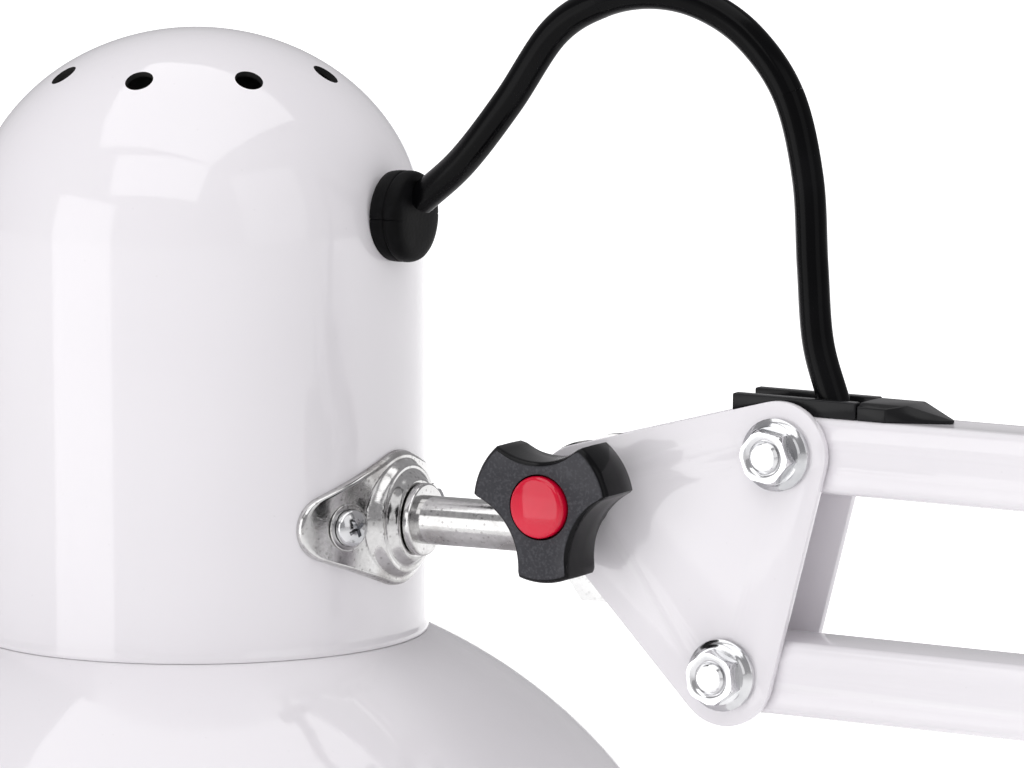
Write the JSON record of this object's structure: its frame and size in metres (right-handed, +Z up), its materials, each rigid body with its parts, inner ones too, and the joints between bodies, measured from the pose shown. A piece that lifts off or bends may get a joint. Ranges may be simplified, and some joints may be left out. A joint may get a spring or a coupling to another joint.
{
  "type": "swing arm desk lamp",
  "caption": "Swing arm desk lamp with a bell shade, twin square tube parallelogram arms, clamping knobs, tension springs and a round weighted base.",
  "frame": {"origin": "centre of the base underside, on the table", "axes": "+Z up; the arms swing in the XZ plane and the shade hangs over the -X side; the knobs face -Y"},
  "size_m": [0.5969, 0.3115, 0.5146],
  "materials": {
    "white_enamel": "gloss baked enamel",
    "base_iron": "rough cast, sealed inside the base",
    "chrome_fitting": "bright plated, slightly grained",
    "zinc_fastener": "bright zinc plated steel",
    "spring_steel": "bright drawn wire",
    "black_cord": "glossy flexible sheath",
    "black_plastic": "satin moulding",
    "black_rubber": "satin rubber",
    "knob_plastic": "fine textured face, glossy flanks",
    "red_plastic": "deep red gloss",
    "white_plastic": "gloss white moulding",
    "holder_plastic": "dark heat resistant moulding",
    "brass_part": "plain bright brass",
    "cap_metal": "rolled thread, bright",
    "bulb_glass": "frosted inside"
  },
  "bodies": {
    "base": {"base_pad": "black_rubber", "base_weight": "base_iron", "base_cover": "white_enamel", "base_socket": "chrome_fitting", "mains_gland": "black_rubber", "mains_lead_near": "black_cord", "mains_lead_mid": "black_cord", "mains_lead_end": "black_cord", "mains_coil": "black_cord", "coil_tie": "black_plastic", "plug_body": "black_plastic", "plug_pins": "brass_part", "switch_case": "black_plastic"},
    "rocker": {"switch_rocker": "white_plastic"},
    "bracket": {"swivel_hub": "white_enamel", "hub_grommet": "black_rubber", "bracket_plate_front": "white_enamel", "bracket_plate_back": "white_enamel", "bracket_bolts": "zinc_fastener", "bracket_nuts": "zinc_fastener", "lower_spring": "spring_steel", "base_loop_cord": "black_cord"},
    "lower_rear_arm": {"lower_rear_tube": "white_enamel", "lower_rear_guides": "black_plastic", "elbow_cord_lower": "black_cord"},
    "lower_front_arm": {"lower_front_tube": "white_enamel"},
    "elbow": {"elbow_plate_front": "white_enamel", "elbow_plate_back": "white_enamel", "elbow_bolts": "zinc_fastener", "elbow_nuts": "zinc_fastener", "upper_spring": "spring_steel"},
    "elbow_clamp_knob": {"elbow_knob": "knob_plastic", "elbow_knob_cap": "red_plastic"},
    "upper_top_arm": {"upper_top_tube": "white_enamel", "upper_guides": "black_plastic", "elbow_cord_upper": "black_cord", "head_cord_arm": "black_cord"},
    "upper_bottom_arm": {"upper_bottom_tube": "white_enamel"},
    "head_plates": {"head_plate_front": "white_enamel", "head_plate_back": "white_enamel", "head_bolts": "zinc_fastener", "head_nuts": "zinc_fastener"},
    "head_clamp_knob": {"head_knob": "knob_plastic", "head_knob_cap": "red_plastic"},
    "yoke": {"head_yoke": "chrome_fitting", "head_rod": "chrome_fitting", "rod_collar": "chrome_fitting", "head_cord_mid": "black_cord"},
    "shade": {"shade_neck": "white_enamel", "shade_bell": "white_enamel", "flange_plate": "chrome_fitting", "flange_screws": "zinc_fastener", "shade_grommet": "black_rubber", "holder_bracket": "zinc_fastener", "lamp_holder": "holder_plastic", "holder_shell": "brass_part", "bulb_cap": "cap_metal", "bulb_glass": "bulb_glass", "head_cord_shade": "black_cord"}
  },
  "joints": [
    {"name": "base_swivel", "type": "hinge", "parent": "base", "child": "bracket", "pos_m": [0, 0, 0.03], "axis": [0, 0, 1], "range_deg": [-170, 170]},
    {"name": "switch_press", "type": "hinge", "parent": "base", "child": "rocker", "pos_m": [0.175, 0.089, 0.0145], "axis": [1, 0, 0], "range_deg": [-14, 0]},
    {"name": "lower_arm", "type": "hinge", "parent": "bracket", "child": "lower_rear_arm", "pos_m": [0.018, 0, 0.072], "axis": [0, 1, 0], "range_deg": [-36, 16], "deforming": ["lower_spring", "base_loop_cord"]},
    {"name": "lower_front_link", "type": "hinge", "parent": "bracket", "child": "lower_front_arm", "pos_m": [-0.018, 0, 0.072], "axis": [0, 1, 0], "range_deg": [-36, 16]},
    {"name": "elbow_level", "type": "hinge", "parent": "lower_rear_arm", "child": "elbow", "pos_m": [0.16266, 0, 0.3686], "axis": [0, 1, 0], "range_deg": [-16, 36], "deforming": ["elbow_cord_lower"]},
    {"name": "elbow_knob_turn", "type": "hinge", "parent": "elbow", "child": "elbow_clamp_knob", "pos_m": [0.12666, -0.017, 0.3686], "axis": [0, 1, 0], "range_deg": [-180, 180]},
    {"name": "upper_arm", "type": "hinge", "parent": "elbow", "child": "upper_top_arm", "pos_m": [0.15016, 0, 0.4346], "axis": [0, 1, 0], "range_deg": [-25, 30], "deforming": ["elbow_cord_upper"]},
    {"name": "upper_bottom_link", "type": "hinge", "parent": "elbow", "child": "upper_bottom_arm", "pos_m": [0.14066, 0, 0.3986], "axis": [0, 1, 0], "range_deg": [-25, 30], "deforming": ["upper_spring"]},
    {"name": "head_level", "type": "hinge", "parent": "upper_top_arm", "child": "head_plates", "pos_m": [-0.17979, 0, 0.44036], "axis": [0, 1, 0], "range_deg": [-30, 25], "deforming": ["head_cord_arm"]},
    {"name": "head_knob_turn", "type": "hinge", "parent": "head_plates", "child": "head_clamp_knob", "pos_m": [-0.21479, -0.017, 0.43136], "axis": [0, 1, 0], "range_deg": [-180, 180]},
    {"name": "head_tilt", "type": "hinge", "parent": "head_plates", "child": "yoke", "pos_m": [-0.21479, 0, 0.43136], "axis": [0, 1, 0], "range_deg": [-20, 60], "deforming": ["head_cord_mid"]},
    {"name": "shade_roll", "type": "hinge", "parent": "yoke", "child": "shade", "pos_m": [-0.24949, 0, 0.42436], "axis": [1, 0, 0], "range_deg": [-35, 35], "deforming": ["head_cord_shade"]}
  ],
  "couplings": [
    {"joint": "lower_front_link", "follows": "lower_arm", "ratio": 1},
    {"joint": "elbow_level", "follows": "lower_arm", "ratio": -1},
    {"joint": "upper_bottom_link", "follows": "upper_arm", "ratio": 1},
    {"joint": "head_level", "follows": "upper_arm", "ratio": -1}
  ]
}
